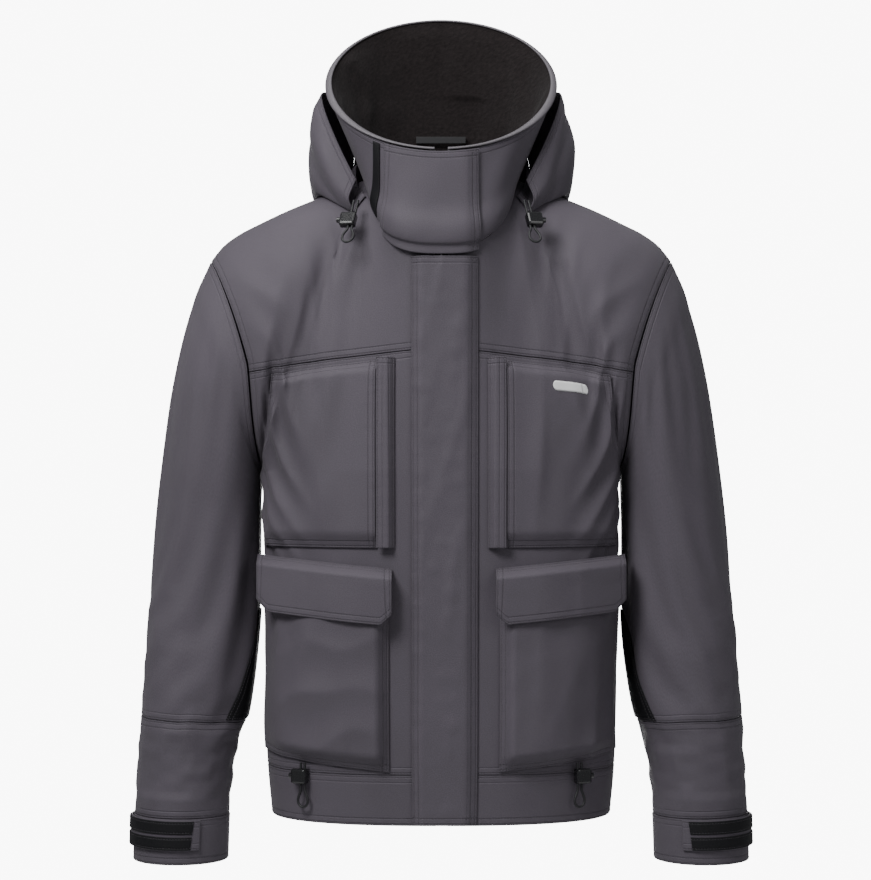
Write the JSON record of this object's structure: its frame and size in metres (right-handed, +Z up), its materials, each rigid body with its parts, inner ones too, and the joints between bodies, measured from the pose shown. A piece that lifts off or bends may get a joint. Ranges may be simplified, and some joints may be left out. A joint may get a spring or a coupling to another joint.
{
  "type": "foul weather jacket",
  "caption": "Hooded foul weather jacket with a high fleece-lined collar, storm flap over a full zip, chest and lidded cargo pockets and adjustable cuffs.",
  "frame": {"origin": "centre of the neck opening, level with the two points where collar, front and back meet at the shoulders; a hanger or a wearer's shoulders hold it there", "axes": "+Z up as worn, the front faces -Y, +X towards the wearer's left"},
  "size_m": [0.7292, 0.3402, 1.0032],
  "materials": {
    "shell_cloth": "matte, fine woven face",
    "black_trim": "black tape and webbing",
    "collar_fleece": "brushed fleece",
    "zip_metal": "dark coated metal",
    "black_plastic": "black moulding",
    "badge_print": "white transfer print"
  },
  "bodies": {
    "shell": {"back_panel": "shell_cloth", "back_yoke": "shell_cloth", "hem_band": "shell_cloth", "collar_back": "shell_cloth", "collar_left": "shell_cloth", "collar_right": "shell_cloth", "collar_lining": "collar_fleece", "collar_loop_tape": "black_trim", "hanger_loop": "black_trim", "hood_centre": "shell_cloth", "chest_badge": "badge_print", "front_panel_right": "shell_cloth", "front_yoke_right": "shell_cloth", "main_zip_right": "black_trim", "chest_pocket_right": "shell_cloth", "chest_welt_right": "shell_cloth", "chest_zip_right": "black_trim", "cargo_pocket_right": "shell_cloth", "hood_side_right": "shell_cloth", "hem_cord_right": "black_trim", "hood_cord_right": "black_trim", "front_panel_left": "shell_cloth", "front_yoke_left": "shell_cloth", "main_zip_left": "black_trim", "chest_pocket_left": "shell_cloth", "chest_welt_left": "shell_cloth", "chest_zip_left": "black_trim", "cargo_pocket_left": "shell_cloth", "hood_side_left": "shell_cloth", "hem_cord_left": "black_trim", "hood_cord_left": "black_trim"},
    "main_slider": {"main_zip_slider": "zip_metal"},
    "main_pull": {"main_zip_pull": "black_plastic"},
    "storm_flap": {"storm_flap": "shell_cloth"},
    "collar_flap": {"collar_flap": "shell_cloth"},
    "chest_slider_right": {"chest_zip_slider_right": "zip_metal"},
    "chest_pull_right": {"chest_zip_pull_right": "black_plastic"},
    "lid_right": {"pocket_lid_right": "shell_cloth"},
    "sleeve_right": {"sleeve_right": "shell_cloth", "forearm_right": "shell_cloth", "cuff_right": "shell_cloth", "elbow_patch_right": "black_trim"},
    "cuff_tab_right": {"cuff_tab_right": "shell_cloth"},
    "hem_lock_right": {"hem_lock_right": "black_plastic"},
    "hem_button_right": {"hem_button_right": "black_plastic"},
    "hood_lock_right": {"hood_lock_right": "black_plastic"},
    "hood_button_right": {"hood_button_right": "black_plastic"},
    "chest_slider_left": {"chest_zip_slider_left": "zip_metal"},
    "chest_pull_left": {"chest_zip_pull_left": "black_plastic"},
    "lid_left": {"pocket_lid_left": "shell_cloth"},
    "sleeve_left": {"sleeve_left": "shell_cloth", "forearm_left": "shell_cloth", "cuff_left": "shell_cloth", "elbow_patch_left": "black_trim"},
    "cuff_tab_left": {"cuff_tab_left": "shell_cloth"},
    "hem_lock_left": {"hem_lock_left": "black_plastic"},
    "hem_button_left": {"hem_button_left": "black_plastic"},
    "hood_lock_left": {"hood_lock_left": "black_plastic"},
    "hood_button_left": {"hood_button_left": "black_plastic"}
  },
  "joints": [
    {"name": "main_zip_slide", "type": "slide", "parent": "shell", "child": "main_slider", "axis": [0, 0.0195, 0.9998], "range_m": [-0.725, 0]},
    {"name": "main_pull_swing", "type": "hinge", "parent": "main_slider", "child": "main_pull", "pos_m": [0, -0.122, 0.00603], "axis": [0, 0.9998, -0.0195], "range_deg": [-22, 22]},
    {"name": "storm_flap_fold", "type": "hinge", "parent": "shell", "child": "storm_flap", "pos_m": [0.04237, -0.13137, -0.4245], "axis": [0.0026, 0.0246, 0.9997], "range_deg": [0, 100]},
    {"name": "collar_flap_fold", "type": "hinge", "parent": "shell", "child": "collar_flap", "pos_m": [0.04423, -0.12125, -0.02823], "axis": [-0.0063, 0.0175, 0.9998], "range_deg": [0, 95]},
    {"name": "chest_zip_slide_right", "type": "slide", "parent": "shell", "child": "chest_slider_right", "axis": [0.0038, 0.0483, 0.9988], "range_m": [-0.165, 0]},
    {"name": "chest_pull_swing_right", "type": "hinge", "parent": "chest_slider_right", "child": "chest_pull_right", "pos_m": [-0.06565, -0.12398, -0.23645], "axis": [0.2609, 0.9642, -0.0476], "range_deg": [-8, 8]},
    {"name": "lid_fold_right", "type": "hinge", "parent": "shell", "child": "lid_right", "pos_m": [-0.11, -0.12261, -0.45044], "axis": [-0.9665, 0.2416, 0.087], "range_deg": [0, 95]},
    {"name": "shoulder_right", "type": "hinge", "parent": "shell", "child": "sleeve_right", "pos_m": [-0.2742, 0, -0.0965], "axis": [0, 1, 0], "range_deg": [0, 30]},
    {"name": "cuff_tab_fold_right", "type": "hinge", "parent": "sleeve_right", "child": "cuff_tab_right", "pos_m": [-0.35715, 0.00366, -0.76498], "axis": [-0.0166, -0.0674, -0.9976], "range_deg": [0, 70]},
    {"name": "hem_lock_slide_right", "type": "slide", "parent": "shell", "child": "hem_lock_right", "axis": [0, 0, 1], "range_m": [-0.0035, 0.0035]},
    {"name": "hem_button_press_right", "type": "slide", "parent": "hem_lock_right", "child": "hem_button_right", "axis": [0.8746, -0.4848, 0], "range_m": [0, 0.0025], "stiffness_N_per_m": 400, "springref_m": -0.001},
    {"name": "hood_lock_slide_right", "type": "slide", "parent": "shell", "child": "hood_lock_right", "axis": [0.1683, 0.518, 0.8387], "range_m": [-0.0035, 0.0035]},
    {"name": "hood_button_press_right", "type": "slide", "parent": "hood_lock_right", "child": "hood_button_right", "axis": [0.9511, -0.309, 0], "range_m": [0, 0.0025], "stiffness_N_per_m": 400, "springref_m": -0.001},
    {"name": "chest_zip_slide_left", "type": "slide", "parent": "shell", "child": "chest_slider_left", "axis": [-0.0038, 0.0483, 0.9988], "range_m": [-0.165, 0]},
    {"name": "chest_pull_swing_left", "type": "hinge", "parent": "chest_slider_left", "child": "chest_pull_left", "pos_m": [0.06565, -0.12398, -0.23645], "axis": [-0.2609, 0.9642, -0.0476], "range_deg": [-8, 8]},
    {"name": "lid_fold_left", "type": "hinge", "parent": "shell", "child": "lid_left", "pos_m": [0.11, -0.12261, -0.45044], "axis": [-0.9665, -0.2416, -0.087], "range_deg": [0, 95]},
    {"name": "shoulder_left", "type": "hinge", "parent": "shell", "child": "sleeve_left", "pos_m": [0.2742, 0, -0.0965], "axis": [0, -1, 0], "range_deg": [0, 30]},
    {"name": "cuff_tab_fold_left", "type": "hinge", "parent": "sleeve_left", "child": "cuff_tab_left", "pos_m": [0.35715, 0.00366, -0.76498], "axis": [-0.0166, 0.0674, 0.9976], "range_deg": [0, 70]},
    {"name": "hem_lock_slide_left", "type": "slide", "parent": "shell", "child": "hem_lock_left", "axis": [0, 0, 1], "range_m": [-0.0035, 0.0035]},
    {"name": "hem_button_press_left", "type": "slide", "parent": "hem_lock_left", "child": "hem_button_left", "axis": [-0.8746, -0.4848, 0], "range_m": [0, 0.0025], "stiffness_N_per_m": 400, "springref_m": -0.001},
    {"name": "hood_lock_slide_left", "type": "slide", "parent": "shell", "child": "hood_lock_left", "axis": [-0.1683, 0.518, 0.8387], "range_m": [-0.0035, 0.0035]},
    {"name": "hood_button_press_left", "type": "slide", "parent": "hood_lock_left", "child": "hood_button_left", "axis": [-0.9511, -0.309, 0], "range_m": [0, 0.0025], "stiffness_N_per_m": 400, "springref_m": -0.001}
  ]
}
